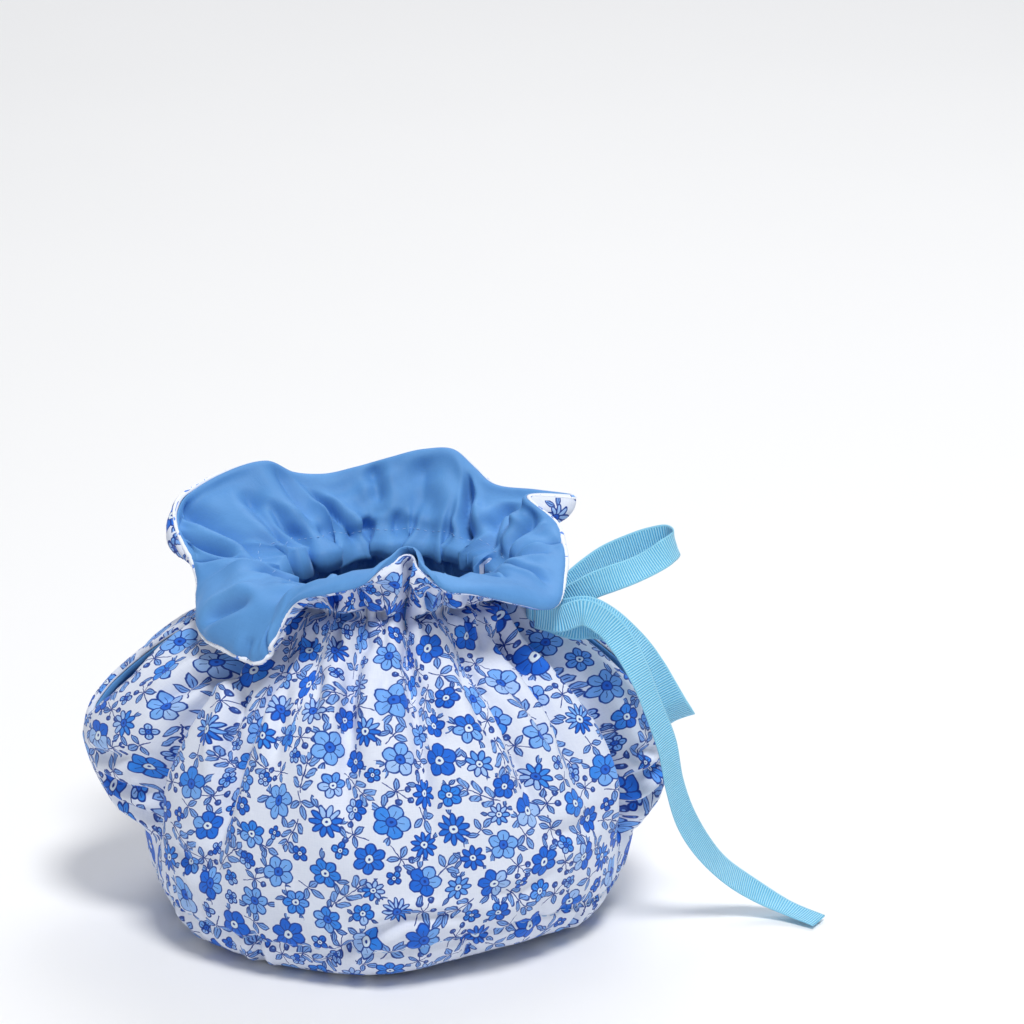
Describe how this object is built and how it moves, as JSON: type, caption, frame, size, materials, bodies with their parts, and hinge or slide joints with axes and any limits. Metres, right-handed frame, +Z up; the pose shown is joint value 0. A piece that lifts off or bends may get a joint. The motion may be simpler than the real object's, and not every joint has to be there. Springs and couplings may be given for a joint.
{
  "type": "gathered tea cosy",
  "caption": "Padded cotton cover for a teapot, drawn in at the neck by a ribbon under a ruffled collar, with side slits for spout and handle.",
  "frame": {"origin": "on the table, under the middle of the box round the cosy without its ribbon", "axes": "+X towards the handle slit, -Y towards the viewer of the picture (the front panel), +Z up"},
  "size_m": [0.2569, 0.1683, 0.148],
  "materials": {
    "printed_cotton": "soft plain-woven cotton with a small blue flower print, padded behind",
    "plain_cotton": "smooth mid-blue cotton lining with a slight sheen",
    "ribbon": "light blue ribbon with fine cross ribs"
  },
  "bodies": {
    "root": {"outer_front": "printed_cotton", "outer_back": "printed_cotton", "lining_front": "plain_cotton", "lining_back": "plain_cotton", "ribbon_knot": "ribbon", "ribbon_loop_upper": "ribbon", "ribbon_loop_lower": "ribbon", "ribbon_tail": "ribbon"}
  },
  "joints": []
}
